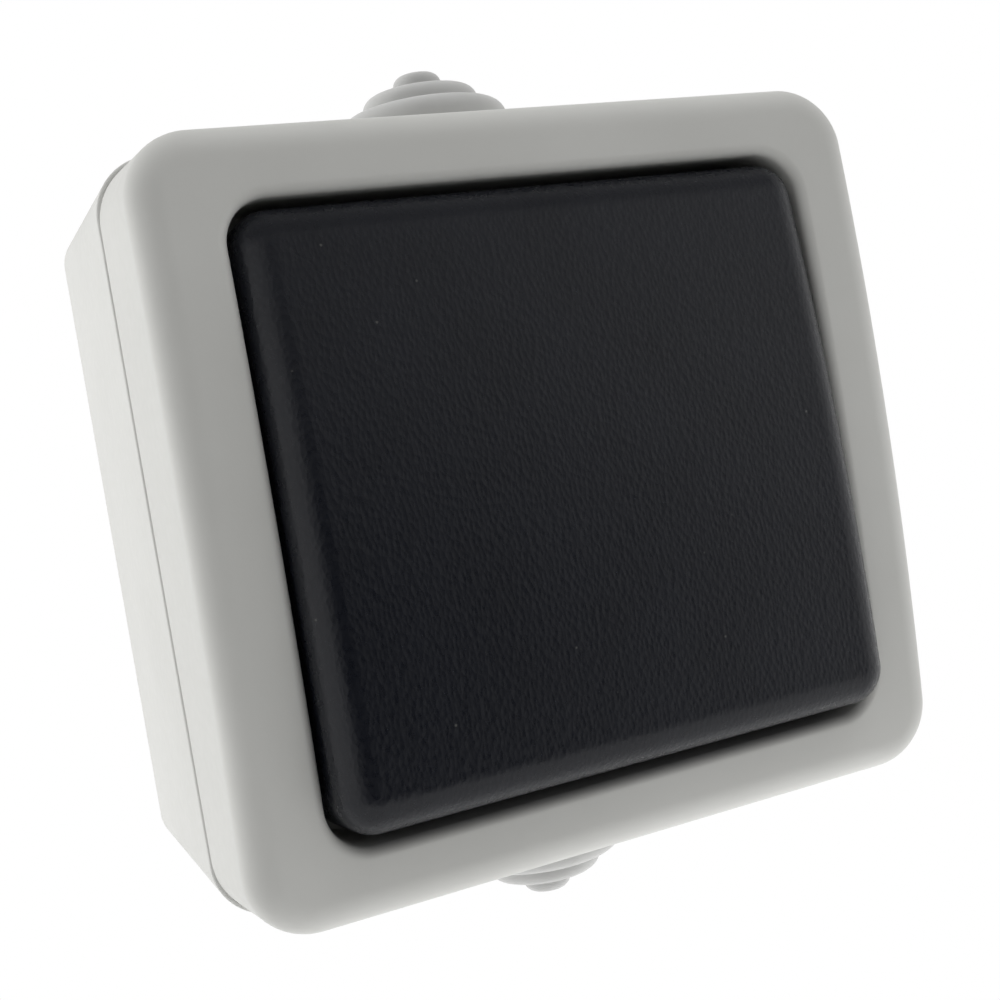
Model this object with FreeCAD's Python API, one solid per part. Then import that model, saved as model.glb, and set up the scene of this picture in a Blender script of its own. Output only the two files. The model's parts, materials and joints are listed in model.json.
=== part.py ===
import FreeCAD, Part
import math
import os

# Surface-mounted weatherproof rocker switch.
# Frame: the wall is the plane y = 0, the front looks along -Y, +Z is up,
# and the origin is the middle of the back face. A depth is a distance from the wall, so y = -depth.
# All sizes are in millimetres, all angles in degrees.

# Outer form
cover_width = 80.0
cover_height = 76.8
cover_draft = 0.31            # growth of each side of the cover from its front edge to the seam
cover_side_depth = 14.2       # seam to front edge
cover_corner = 6.9
cover_edge_round = 3.4
crown_rise = 1.8              # bulge of the front face, highest along the middle line
box_depth = 38.3              # wall to seam
box_step = 0.15               # step of the box's rim outside the cover's lip, each side
box_taper_side = 2.0          # left and right, seam to wall
box_taper_end = 0.46          # top and bottom, seam to wall
box_rim_corner = 6.3
box_back_corner = 4.2
box_back_round = 0.8
seam_round = 0.35             # on the box's rim and on the cover's lip

# Walls
box_floor = 2.6
cavity_draft = 0.96           # each side of the box's inside, seam to wall
cavity_corner = 3.2
cover_wall = 2.6
well_wall = 1.8
well_floor = 1.6

# Opening, rocker and tilt
border_side = 8.2             # front frame from its outer edge to the opening, left and right
border_end = 7.4              # the same at top and bottom
opening_corner = 4.5
opening_round = 1.1
rocker_side_gap = 0.5
rocker_end_gap = 1.2
rocker_corner = 3.9
rocker_edge_round = 3.6
rocker_proud = 2.8            # rocker face in front of the frame's face, in the middle position
rocker_wall = 1.8
rocker_tilt = 3.8             # from the middle position to either end
skirt_clearance = 1.2         # rocker skirt to the well floor at full tilt
rib_thickness = 1.2
rib_height = 1.6

# Seam between box and cover
tongue_height = 2.0
tongue_thickness = 1.2
tongue_clearance = 0.1
gasket_width = 0.9
gasket_height = 1.0
gasket_fit = 0.05

# Cover screws and their posts
cover_boss_height = 2.9
post_radius = 3.5
screw_inset = 6.1             # screw axis from the opening's edge
screw_radius = 1.45
screw_pilot_clearance = 0.05
screw_hole_clearance = 0.3
screw_head_radius = 2.7
screw_head_height = 1.7
screw_engagement = 11.0
pilot_spare = 2.0
recess_width = 0.8
recess_length = 3.2
recess_depth = 1.0

# Wall fixing
wall_hole_radius = 2.3
wall_hole_edge = 3.806        # hole axis from the inner side of the box
wall_collar = 2.2             # ring of plastic round each hole
wall_collar_height = 2.0
back_relief = 0.8             # hollow in the back face between its ribs
back_rim = 4.0
back_rib = 4.0

# Cable grommets, stepped cones of rubber
grommet_rim_inset = 10.3      # grommet axis from the seam
grommet_clearance = 0.6       # widest step of the grommet to the seam
grommet_hole_radius = 8.5
grommet_flange = 1.5          # inner flange behind the box wall
grommet_wall = 1.3
grommet_middle_radius = 6.7
grommet_tip_radius = 2.8
grommet_reach = 9.3           # tip beyond the box side
grommet_step = 2.1
grommet_base_round = 2.0
grommet_middle_round = 1.6
grommet_tip_round = 1.3

# Rocker seal in the well floor
seal_lip = 0.7
seal_land = 2.0
seal_wall = 2.0
seal_gap = 0.6

# Cradle that carries the rocker
hub_radius = 3.0
hub_half_length = 11.0
trunnion_radius = 1.5
trunnion_clearance = 0.05
trunnion_end_gap = 0.3
ear_thickness = 3.0
ear_radius = 2.6
ear_gap = 0.3
ear_stand = 4.6               # trunnion axis above the well floor
head_half_height = 6.0
head_rise = 4.0               # front of the head above the trunnion axis
head_corner = 1.5
clip_spacing = 15.0
clip_radius = 2.4
clip_pin_radius = 1.3
clip_pin_length = 2.2
clip_clearance = 0.05
socket_radius = 4.0
socket_length = 20.0

# Plunger and spring
plunger_radius = 2.6
plunger_clearance = 0.08
plunger_tip_radius = 2.0
plunger_neck = 2.6
plunger_body = 8.0
plunger_clearance_mid = 0.1   # tip to blade in the middle position
spring_length = 8.0
spring_wire = 0.25
spring_turns = 8
spring_flats = 8              # sides of the wire's section
spring_clearance = 0.2
spigot_length = 2.0
spigot_clearance = 0.3

# Mechanism block, frame plate and strap
base_post_clearance = 1.0
base_depth = 19.0
base_wall = 2.0
base_floor = 2.2
base_corner = 1.5
mechanism_gap = 5.5           # seal to the front of the mechanism
frame_thickness = 1.6
frame_margin = 1.5
strap_thickness = 1.2
strap_half_height = 11.0
window_half_width = 9.0
window_clearance = 2.2
strap_post_radius = 3.2
strap_screw_radius = 1.45
strap_screw_head_radius = 2.8
strap_screw_head_height = 1.8
strap_screw_engagement = 9.0
rivet_radius = 1.2
rivet_clearance = 0.05
rivet_head_radius = 2.1
rivet_head_height = 0.9
rivet_post_wall = 1.4

# Contacts and terminals
strip_thickness = 1.0
strip_width = 4.0
pin_stand = 2.2
pin_radius = 0.8
pin_clearance = 0.05
barrel_wall = 0.7
arm_half_width = 3.5
arm_thickness = 0.8
arm_lift = 1.0                # back of the blade above the pin axis
arm_top = 13.0
arm_bottom = 11.0
arm_tilt = 4.4                # from the middle position to either end
contact_height = 11.0         # contact tips above the pin axis
tip_radius = 1.7
tip_thickness = 0.9
contact_clearance = 0.15
arm_side_gap = 0.3
pin_ear_thickness = 1.0
pin_ear_wall = 1.0
terminal_side_gap = 3.2       # terminal block to the side wall of the mechanism block
terminal_half_width = 4.0
terminal_half_height = 3.0
terminal_block = 7.0
terminal_fit = 0.3
wire_radius = 1.5
terminal_screw_radius = 1.4
terminal_screw_clearance = 0.05
terminal_head_radius = 2.4
terminal_head_height = 1.6
slot_width = 0.7
slot_depth = 0.8

# Derived outline
half_width = cover_width / 2
half_height = cover_height / 2
front_depth = box_depth + cover_side_depth
crown_radius = (half_height ** 2 + crown_rise ** 2) / (2 * crown_rise)
opening_half_width = half_width - border_side
opening_half_height = half_height - border_end
back_half_width = half_width + cover_draft + box_step - box_taper_side
back_half_height = half_height + cover_draft + box_step - box_taper_end

# Derived depths: the rocker's bearing stands on the well floor, the mechanism hangs behind it
well_floor_back = box_depth + cover_boss_height
well_floor_front = well_floor_back + well_floor
pivot_depth = well_floor_front + ear_stand
head_front = pivot_depth + head_rise
frame_front = well_floor_back - seal_lip - mechanism_gap
strap_front = frame_front - frame_thickness
strap_back = strap_front - strap_thickness
base_back = strap_back - base_depth
base_floor_front = base_back + base_floor
strip_front = base_floor_front + strip_thickness
pin_depth = strip_front + pin_stand
blade_back = pin_depth + arm_lift
blade_front = blade_back + arm_thickness
tip_centre = blade_front + plunger_clearance_mid + plunger_tip_radius
spring_bottom = tip_centre + plunger_neck + plunger_body
spring_top = spring_bottom + spring_length
face_drop = opening_half_height * math.sin(math.radians(rocker_tilt))
skirt_depth = well_floor_front + skirt_clearance + face_drop

# Derived places across the front
cover_screw_x = opening_half_width - screw_inset
cover_screw_z = opening_half_height - screw_inset
cover_screw_places = [(sx * cover_screw_x, sz * cover_screw_z) for sx in (-1, 1) for sz in (-1, 1)]
base_half_width = cover_screw_x - post_radius - base_post_clearance
base_half_height = cover_screw_z - post_radius - base_post_clearance
strap_post_x = base_half_width + base_post_clearance + strap_post_radius
ear_inner = hub_half_length + ear_gap
ear_outer = ear_inner + ear_thickness
rivet_x = base_half_width - base_wall - rivet_post_wall - rivet_radius
window_half_height = socket_radius + window_clearance
grommet_depth = box_depth - grommet_rim_inset
grommet_radius = grommet_rim_inset - grommet_clearance
terminal_x = base_half_width - base_wall - terminal_side_gap - terminal_half_width
terminal_z = base_half_height - base_wall - terminal_fit - terminal_half_height

OVERRUN = 5.0                 # how far cutting solids pass the faces that they cut
TOUCH = 1e-3                  # how near an edge has to lie to count as on the crown


def point(x, depth, z):
    return FreeCAD.Vector(x, -depth, z)


def rounded_outline(half_w, half_h, radius, depth):
    """Closed outline of a rectangle with round corners, parallel to the wall at a depth."""
    diagonal = radius * (1 - math.sqrt(0.5))
    edges = []
    for sx, sz in ((1, 1), (-1, 1), (-1, -1), (1, -1)):
        side = point(sx * half_w, depth, sz * (half_h - radius))
        middle = point(sx * (half_w - diagonal), depth, sz * (half_h - diagonal))
        top = point(sx * (half_w - radius), depth, sz * half_h)
        ends = (side, top) if sx * sz > 0 else (top, side)
        edges.append(Part.Arc(ends[0], middle, ends[1]).toShape())
    sides = []
    for here, following in zip(edges, edges[1:] + edges[:1]):
        sides.append(here)
        sides.append(Part.LineSegment(here.Vertexes[-1].Point, following.Vertexes[0].Point).toShape())
    return Part.Wire(sides)


def slab(half_w, half_h, radius, depth_from, depth_to):
    """Straight-sided block with round corners between two depths."""
    face = Part.Face(rounded_outline(half_w, half_h, radius, depth_from))
    return face.extrude(FreeCAD.Vector(0, depth_from - depth_to, 0))


def tapered_slab(half_size_at, corners, depth_from, depth_to):
    """Block whose half width, half height and corner radius change evenly between two depths."""
    near = rounded_outline(*half_size_at(depth_from), corners[0], depth_from)
    far = rounded_outline(*half_size_at(depth_to), corners[1], depth_to)
    return Part.makeLoft([near, far], True, True)


def block(x_from, x_to, depth_from, depth_to, z_from, z_to):
    corner = point(x_from, depth_to, z_from)
    return Part.makeBox(x_to - x_from, depth_to - depth_from, z_to - z_from, corner)


def rod_out(radius, x, z, depth_from, depth_to):
    """Round rod pointing away from the wall."""
    outwards = FreeCAD.Vector(0, -1, 0)
    return Part.makeCylinder(radius, depth_to - depth_from, point(x, depth_from, z), outwards)


def rod_across(radius, x_from, x_to, depth, z=0.0):
    """Round rod along the width."""
    return Part.makeCylinder(radius, x_to - x_from, point(x_from, depth, z), FreeCAD.Vector(1, 0, 0))


def joined(shapes):
    return shapes[0].multiFuse(shapes[1:]).removeSplitter()


def crown_at(z, drop=0.0):
    """Depth of the crowned front at height z, a drop behind the frame's face."""
    return front_depth + crown_rise - crown_radius + math.sqrt(crown_radius ** 2 - z ** 2) - drop


def under_crown(depth_from, drop=0.0):
    """Everything between a depth and the crowned front, wider than the whole switch."""
    reach = half_height + cover_draft + OVERRUN
    span = half_width + cover_draft + OVERRUN
    low = point(-span, crown_at(-reach, drop), -reach)
    high = point(-span, crown_at(reach, drop), reach)
    top = point(-span, crown_at(0.0, drop), 0.0)
    foot_high = point(-span, depth_from, reach)
    foot_low = point(-span, depth_from, -reach)
    edges = [
        Part.Arc(low, top, high).toShape(),
        Part.LineSegment(high, foot_high).toShape(),
        Part.LineSegment(foot_high, foot_low).toShape(),
        Part.LineSegment(foot_low, low).toShape(),
    ]
    return Part.Face(Part.Wire(edges)).extrude(FreeCAD.Vector(2 * span, 0, 0))


def edges_on_crown(shape, half_w, half_h, drop=0.0):
    """Edges that lie on the crowned front, inside a rectangle of the given half sizes."""
    found = []
    for edge in shape.Edges:
        spots = edge.discretize(5)
        on_crown = all(abs(-p.y - crown_at(p.z, drop)) < TOUCH for p in spots)
        inside = all(abs(p.x) < half_w + TOUCH and abs(p.z) < half_h + TOUCH for p in spots)
        if on_crown and inside:
            found.append(edge)
    return found


def edges_at_depth(shape, depth):
    """Edges that lie flat at a depth."""
    found = []
    for edge in shape.Edges:
        box = edge.BoundBox
        if abs(box.YMin + depth) < TOUCH and abs(box.YMax + depth) < TOUCH:
            found.append(edge)
    return found


def tilted(shape, angle):
    """Shape turned with the rocker about its trunnions, top outwards for a positive angle."""
    turned = shape.copy()
    turned.rotate(point(0, pivot_depth, 0), FreeCAD.Vector(1, 0, 0), angle)
    return turned


def rocked(shape, angle):
    """Shape turned with the contact arm about its pin, top outwards for a positive angle."""
    turned = shape.copy()
    turned.rotate(point(0, pin_depth, 0), FreeCAD.Vector(1, 0, 0), angle)
    return turned


def cross_recess(x, z, depth):
    """Cross-shaped driver recess in the top of a screw head."""
    half_long = recess_length / 2
    half_short = recess_width / 2
    floor = depth - recess_depth
    flat = block(x - half_long, x + half_long, floor, depth + OVERRUN, z - half_short, z + half_short)
    upright = block(x - half_short, x + half_short, floor, depth + OVERRUN, z - half_long, z + half_long)
    return flat.fuse(upright)


def pan_screw(x, z, seat, end, radius, head_radius, head_height):
    """Pan-head screw with its head on a seat depth and its shank reaching back to an end depth."""
    shank = rod_out(radius, x, z, end, seat)
    head = rod_out(head_radius, x, z, seat, seat + head_height)
    rim = [e for e in head.Edges if abs(e.BoundBox.YMin + seat + head_height) < TOUCH and e.Closed]
    head = head.makeFillet(head_height / 2, rim[:1])
    return shank.fuse(head).removeSplitter().cut(cross_recess(x, z, seat + head_height))


def cover_half(depth):
    """Half width and half height of the drafted cover at a depth."""
    grow = cover_draft * (front_depth - depth) / cover_side_depth
    return half_width + grow, half_height + grow


def cover_inner_half(depth):
    outer = cover_half(depth)
    return outer[0] - cover_wall, outer[1] - cover_wall


def box_half(depth):
    """Half width and half height of the tapered box at a depth."""
    share = depth / box_depth
    return back_half_width + box_taper_side * share, back_half_height + box_taper_end * share


def box_inner_half(depth):
    """Half width and half height of the box's inside at a depth, drafted from the inside of the tongue."""
    inset = tongue_thickness + cavity_draft * (box_depth - depth) / box_depth
    return tongue_half[0] - inset, tongue_half[1] - inset


tongue_half = [size - tongue_clearance for size in cover_inner_half(box_depth + tongue_height)]
tongue_corner = cover_corner - cover_wall
gasket_inner_half = [size + gasket_fit for size in tongue_half]
gasket_outer_half = [size + gasket_width for size in gasket_inner_half]


def box_outer():
    return tapered_slab(box_half, (box_back_corner, box_rim_corner), 0.0, box_depth)


def box_cavity():
    corners = (cavity_corner, cavity_corner)
    return tapered_slab(box_inner_half, corners, box_floor, box_depth + tongue_height + OVERRUN)


def wall_hole_places():
    """Fixing holes below and above the middle, set in from the inner side of the box at the wall."""
    reach = box_inner_half(0.0)[1] - wall_hole_edge
    return [(0.0, -reach), (0.0, reach)]


def strap_post_places():
    return [(-strap_post_x, 0.0), (strap_post_x, 0.0)]


def grommet_axis(radius, reach_from, reach_to, side):
    """Cylinder on the axis of the upper (side 1) or lower (side -1) cable entry."""
    start = point(0, grommet_depth, side * reach_from)
    return Part.makeCylinder(radius, reach_to - reach_from, start, FreeCAD.Vector(0, 0, side))


def make_back_box():
    """Wall box: tapered shell with a seam tongue, posts, fixing holes and cable holes."""
    shell = box_outer()
    shell = shell.makeFillet(box_back_round, edges_at_depth(shell, 0.0))
    shell = shell.makeFillet(seam_round, edges_at_depth(shell, box_depth))
    tongue = slab(*tongue_half, tongue_corner, box_depth - tongue_height, box_depth + tongue_height)
    shell = shell.fuse(tongue).cut(box_cavity())
    posts = []
    for x, z in cover_screw_places:
        posts.append(rod_out(post_radius, x, z, box_floor / 2, box_depth))
    for x, z in strap_post_places():
        posts.append(rod_out(strap_post_radius, x, z, box_floor / 2, strap_back))
    for x, z in wall_hole_places():
        collar_top = box_floor + wall_collar_height
        posts.append(rod_out(wall_hole_radius + wall_collar, x, z, box_floor / 2, collar_top))
    shell = joined([shell] + posts)
    pilot = screw_radius + screw_pilot_clearance
    for x, z in cover_screw_places:
        shell = shell.cut(rod_out(pilot, x, z, cover_screw_end() - pilot_spare, box_depth + OVERRUN))
    strap_pilot = strap_screw_radius + screw_pilot_clearance
    for x, z in strap_post_places():
        shell = shell.cut(rod_out(strap_pilot, x, z, strap_screw_end() - pilot_spare, strap_back + OVERRUN))
    shell = shell.cut(back_hollow())
    for x, z in wall_hole_places():
        shell = shell.cut(rod_out(wall_hole_radius, x, z, -OVERRUN, box_depth))
    for side in (-1, 1):
        inside = base_half_height
        shell = shell.cut(grommet_axis(grommet_hole_radius, inside, half_height + OVERRUN, side))
    return shell


def back_hollow():
    """Shallow hollow in the back face that leaves a rim, a cross of ribs and a pad at each fixing hole."""
    half_w = back_half_width - back_rim
    half_h = back_half_height - back_rim
    hollow = slab(half_w, half_h, box_back_corner, -OVERRUN, back_relief)
    half_rib = back_rib / 2
    hollow = hollow.cut(block(-half_width, half_width, -OVERRUN, box_depth, -half_rib, half_rib))
    hollow = hollow.cut(block(-half_rib, half_rib, -OVERRUN, box_depth, -half_height, half_height))
    for x, z in wall_hole_places():
        hollow = hollow.cut(rod_out(wall_hole_radius + wall_collar, x, z, -OVERRUN, box_depth))
    return hollow


def cover_screw_end():
    return box_depth - screw_engagement


def strap_screw_end():
    return strap_back - strap_screw_engagement


def make_box_gasket():
    """Rubber ring round the tongue, in the rebate of the cover."""
    ring = slab(*gasket_outer_half, tongue_corner + gasket_width, box_depth, box_depth + gasket_height)
    return ring.cut(slab(*gasket_inner_half, tongue_corner, box_depth - OVERRUN, front_depth))


def seal_bore():
    """Radius of the seal's bore: the cradle's socket swings inside it."""
    swing = (pivot_depth - well_floor_back + seal_lip) * math.sin(math.radians(rocker_tilt))
    return socket_radius + swing + seal_gap


def bearing_ears():
    """Two ears on the well floor that carry the cradle's trunnions."""
    ears = []
    for x_from in (-ear_outer, ear_inner):
        x_to = x_from + ear_thickness
        foot = well_floor_front - well_floor / 2
        ears.append(block(x_from, x_to, foot, pivot_depth, -ear_radius, ear_radius))
        ears.append(rod_across(ear_radius, x_from, x_to, pivot_depth))
    bore = rod_across(trunnion_radius + trunnion_clearance, -half_width, half_width, pivot_depth)
    return joined(ears).cut(bore)


def make_front_cover():
    """Crowned frame with a drafted skirt, an opening with a well behind it and four screw bosses."""
    high = front_depth + crown_rise + OVERRUN
    shell = tapered_slab(cover_half, (cover_corner, cover_corner), box_depth, high)
    shell = shell.common(under_crown(box_depth))
    shell = shell.makeFillet(seam_round, edges_at_depth(shell, box_depth))
    shell = shell.makeFillet(cover_edge_round, edges_on_crown(shell, cover_width, cover_height))
    low = box_depth - OVERRUN
    inner = tapered_slab(cover_inner_half, (tongue_corner, tongue_corner), low, high)
    shell = shell.cut(inner.common(under_crown(low, cover_wall)))
    opening = (opening_half_width, opening_half_height)
    well_half = [size + well_wall for size in opening]
    well = slab(*well_half, opening_corner + well_wall, well_floor_back, high)
    well = well.common(under_crown(well_floor_back, cover_wall / 2))
    boss_end = well_floor_back + well_floor / 2
    bosses = [rod_out(post_radius, x, z, box_depth, boss_end) for x, z in cover_screw_places]
    shell = joined([shell, well] + bosses)
    shell = shell.cut(slab(*opening, opening_corner, well_floor_front, high))
    shell = shell.makeFillet(opening_round, edges_on_crown(shell, *opening))
    for x, z in cover_screw_places:
        shell = shell.cut(rod_out(screw_radius + screw_hole_clearance, x, z, low, front_depth))
    shell = shell.cut(rod_out(seal_bore() + seal_wall, 0.0, 0.0, box_depth, front_depth))
    shell = shell.fuse(bearing_ears()).removeSplitter()
    rebate = [size + gasket_fit for size in gasket_outer_half]
    rebate_corner = tongue_corner + gasket_width
    return shell.cut(slab(*rebate, rebate_corner, box_depth - OVERRUN, box_depth + gasket_height))


def make_cover_screws():
    screws = []
    for x, z in cover_screw_places:
        screws.append(pan_screw(x, z, well_floor_front, cover_screw_end(), screw_radius,
                                screw_head_radius, screw_head_height))
    return Part.makeCompound(screws)


def make_grommet(side):
    """Stepped rubber cone: a flange inside the box, a neck in its wall and round steps outside."""
    seat = box_half(grommet_depth)[1]
    tip = seat + grommet_reach
    radii = (grommet_radius, grommet_middle_radius, grommet_tip_radius)
    tops = (tip - 2 * grommet_step, tip - grommet_step, tip)
    outside = [grommet_axis(radius, half_height / 2, top, side) for radius, top in zip(radii, tops)]
    rounds = (grommet_base_round, grommet_middle_round, grommet_tip_round)
    for i, top in enumerate(tops):
        rim = [e for e in outside[i].Edges if e.Closed and abs(e.CenterOfMass.z - side * top) < TOUCH]
        outside[i] = outside[i].makeFillet(rounds[i], rim)
    body = joined(outside).cut(box_outer())
    neck = grommet_axis(grommet_hole_radius, half_height / 2, seat + grommet_wall, side)
    neck = neck.common(box_outer()).cut(grommet_axis(grommet_hole_radius, 0.0, inner_flange_end(), side))
    flange = grommet_axis(grommet_radius, inner_flange_end(), half_height, side).common(box_cavity())
    flange = flange.common(block(-half_width, half_width, 0.0, box_depth, -half_height, half_height))
    whole = joined([body, neck, flange])
    for radius, top in zip(radii, tops):
        hollow = min(radius, grommet_hole_radius) - grommet_wall
        whole = whole.cut(grommet_axis(hollow, 0.0, top - grommet_wall, side))
    return whole


def inner_flange_end():
    return box_inner_half(grommet_depth)[1] - grommet_flange


def make_rocker():
    """Crowned black cap with a large edge round, hollow behind, with ribs and two clip bosses."""
    half_w = opening_half_width - rocker_side_gap
    half_h = opening_half_height - rocker_end_gap
    ceiling = front_depth + crown_rise + rocker_proud + OVERRUN
    cap = slab(half_w, half_h, rocker_corner, skirt_depth, ceiling)
    cap = cap.common(under_crown(skirt_depth, -rocker_proud))
    cap = cap.makeFillet(rocker_edge_round, edges_on_crown(cap, half_w, half_h, -rocker_proud))
    inner_half = (half_w - rocker_wall, half_h - rocker_wall)
    inner_corner = rocker_corner - rocker_wall
    drop = rocker_wall - rocker_proud
    inner = slab(*inner_half, inner_corner, skirt_depth - OVERRUN, ceiling)
    inner = inner.common(under_crown(skirt_depth - OVERRUN, drop))
    inner = inner.makeFillet(rocker_edge_round - rocker_wall, edges_on_crown(inner, *inner_half, drop))
    cap = cap.cut(inner)
    half_rib = rib_thickness / 2
    room = under_crown(well_floor_front, drop - rocker_wall / 2)
    rib_from = crown_at(half_h, drop) - rib_height
    reach = (half_w - rocker_edge_round, half_h - rocker_edge_round)
    ribs = [block(-reach[0], reach[0], rib_from, ceiling, -half_rib, half_rib)]
    ribs.append(block(-half_rib, half_rib, rib_from, ceiling, -reach[1], reach[1]))
    for x in (-clip_spacing / 2, clip_spacing / 2):
        ribs.append(rod_out(clip_radius, x, 0.0, head_front, ceiling))
    fittings = joined(ribs).common(room)
    pins = [rod_out(clip_pin_radius, x, 0.0, head_front - clip_pin_length, head_front + rib_thickness)
            for x in (-clip_spacing / 2, clip_spacing / 2)]
    return tilted(joined([cap, fittings] + pins), -rocker_tilt)


def make_rocker_seal():
    """Rubber ring clipped round the hole in the well floor, close about the cradle's socket."""
    hole = seal_bore() + seal_wall
    low = well_floor_back - seal_lip
    high = well_floor_front + seal_lip
    ring = rod_out(hole, 0.0, 0.0, low, high)
    for depth_from in (low, well_floor_front):
        ring = ring.fuse(rod_out(hole + seal_land, 0.0, 0.0, depth_from, depth_from + seal_lip))
    ring = ring.removeSplitter().cut(rod_out(seal_bore(), 0.0, 0.0, box_depth, front_depth))
    room = ear_radius + ear_gap
    for x_from in (-ear_outer, ear_inner):
        x_to = x_from + ear_thickness + ear_gap
        ring = ring.cut(block(x_from - ear_gap, x_to, well_floor_front, pivot_depth, -room, room))
    return ring


def make_cradle():
    """Carrier of the rocker: hub with trunnions, clip head and a long socket for the spring."""
    trunnion_end = ear_outer - trunnion_end_gap
    hub = rod_across(hub_radius, -hub_half_length, hub_half_length, pivot_depth)
    trunnions = rod_across(trunnion_radius, -trunnion_end, trunnion_end, pivot_depth)
    head = slab(hub_half_length, head_half_height, head_corner, pivot_depth, head_front)
    socket = rod_out(socket_radius, 0.0, 0.0, pivot_depth - socket_length, pivot_depth)
    body = joined([hub, trunnions, head, socket])
    bore = plunger_radius + plunger_clearance
    body = body.cut(rod_out(bore, 0.0, 0.0, pivot_depth - socket_length - OVERRUN, spring_top))
    for x in (-clip_spacing / 2, clip_spacing / 2):
        floor = head_front - clip_pin_length - clip_clearance
        body = body.cut(rod_out(clip_pin_radius + clip_clearance, x, 0.0, floor, front_depth))
    return tilted(body, -rocker_tilt)


def make_plunger():
    """Round-nosed plunger that slides in the cradle's socket, with a spigot for the spring."""
    nose = Part.makeSphere(plunger_tip_radius, point(0, tip_centre, 0))
    neck = rod_out(plunger_tip_radius, 0.0, 0.0, tip_centre, tip_centre + plunger_neck)
    body = rod_out(plunger_radius, 0.0, 0.0, tip_centre + plunger_neck, spring_bottom)
    spigot_radius = spring_mean_radius() - spring_wire - spigot_clearance
    spigot = rod_out(spigot_radius, 0.0, 0.0, spring_bottom, spring_bottom + spigot_length)
    return tilted(joined([nose, neck, body, spigot]), -rocker_tilt)


def spring_mean_radius():
    return plunger_radius - spring_clearance - spring_wire


def make_plunger_spring():
    """Coil spring between the plunger and the end of the cradle's socket."""
    radius = spring_mean_radius()
    coil_length = spring_length - 2 * spring_wire
    pitch = coil_length / spring_turns
    helix = Part.makeHelix(pitch, coil_length, radius)
    outwards = FreeCAD.Vector(1, 0, 0)
    along = FreeCAD.Vector(0, 2 * math.pi * radius, pitch)
    upwards = along.cross(outwards).normalize()
    corners = []
    for i in range(spring_flats):
        angle = 2 * math.pi * i / spring_flats
        offset = outwards * math.cos(angle) + upwards * math.sin(angle)
        corners.append(outwards * radius + offset * spring_wire)
    section = Part.makePolygon(corners + corners[:1])
    coil = Part.Wire(helix.Edges).makePipeShell([section], True, True)
    coil.rotate(FreeCAD.Vector(0, 0, 0), FreeCAD.Vector(1, 0, 0), 90)
    coil.translate(point(0, spring_bottom + spring_wire, 0))
    return tilted(coil, -rocker_tilt)


def rivet_places():
    return [(-rivet_x, 0.0), (rivet_x, 0.0)]


def make_mechanism_base():
    """Open insulating block with two rivet posts and two wire holes in its upper wall."""
    inner = (base_half_width - base_wall, base_half_height - base_wall)
    body = slab(base_half_width, base_half_height, base_corner, base_back, strap_back)
    body = body.cut(slab(*inner, base_corner, base_floor_front, strap_back + OVERRUN))
    post = rivet_radius + rivet_clearance + rivet_post_wall
    posts = [rod_out(post, x, z, base_back + base_floor / 2, strap_back) for x, z in rivet_places()]
    body = joined([body] + posts)
    for x, z in rivet_places():
        body = body.cut(rod_out(rivet_radius + rivet_clearance, x, z, base_back - OVERRUN, front_depth))
        recess = rivet_head_radius + rivet_clearance
        body = body.cut(rod_out(recess, x, z, base_back - OVERRUN, base_back + rivet_head_height))
    for x in (-terminal_x, terminal_x):
        start = point(x, wire_depth(), terminal_z)
        body = body.cut(Part.makeCylinder(wire_radius, base_half_height, start, FreeCAD.Vector(0, 0, 1)))
    return body


def wire_depth():
    return strip_front + terminal_block / 2


def make_mounting_strap():
    """Steel strap across the box with a window for the cradle and holes for screws and rivets."""
    half_length = strap_post_x + strap_post_radius
    plate = slab(half_length, strap_half_height, base_corner, strap_back, strap_front)
    plate = plate.cut(slab(window_half_width, window_half_height, base_corner, strap_back - OVERRUN,
                           strap_front + OVERRUN))
    for x, z in strap_post_places():
        hole = strap_screw_radius + screw_hole_clearance
        plate = plate.cut(rod_out(hole, x, z, strap_back - OVERRUN, strap_front + OVERRUN))
    for x, z in rivet_places():
        plate = plate.cut(rod_out(rivet_radius + rivet_clearance, x, z, strap_back - OVERRUN, front_depth))
    return plate


def make_mechanism_frame():
    """Insulating plate in front of the strap, with a window for the cradle's socket."""
    half_length = rivet_x + rivet_head_radius + frame_margin
    plate = slab(half_length, strap_half_height, base_corner, strap_front, frame_front)
    plate = plate.cut(slab(window_half_width, window_half_height, base_corner, strap_front - OVERRUN,
                           frame_front + OVERRUN))
    for x, z in rivet_places():
        plate = plate.cut(rod_out(rivet_radius + rivet_clearance, x, z, strap_front - OVERRUN, front_depth))
    return plate


def make_strap_screws():
    screws = []
    for x, z in strap_post_places():
        screws.append(pan_screw(x, z, strap_front, strap_screw_end(), strap_screw_radius,
                                strap_screw_head_radius, strap_screw_head_height))
    return Part.makeCompound(screws)


def make_base_rivets():
    rivets = []
    for x, z in rivet_places():
        shank = rod_out(rivet_radius, x, z, base_back, frame_front + rivet_head_height / 2)
        back_head = rod_out(rivet_head_radius, x, z, base_back, base_back + rivet_head_height)
        front_head = rod_out(rivet_head_radius, x, z, frame_front, frame_front + rivet_head_height)
        rivets.append(joined([shank, back_head, front_head]))
    return Part.makeCompound(rivets)


def make_contact_arm():
    """Rocking brass blade with a barrel that turns on the contact pin."""
    blade = block(-arm_half_width, arm_half_width, blade_back, blade_front, -arm_bottom, arm_top)
    barrel = pin_radius + pin_clearance + barrel_wall
    body = blade.fuse(rod_across(barrel, -arm_half_width, arm_half_width, pin_depth)).removeSplitter()
    body = body.cut(rod_across(pin_radius + pin_clearance, -half_width, half_width, pin_depth))
    return rocked(body, arm_tilt)


def make_moving_contact_tip():
    tip = rod_out(tip_radius, 0.0, contact_height, blade_back - tip_thickness, blade_back)
    return rocked(tip, arm_tilt)


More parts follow.
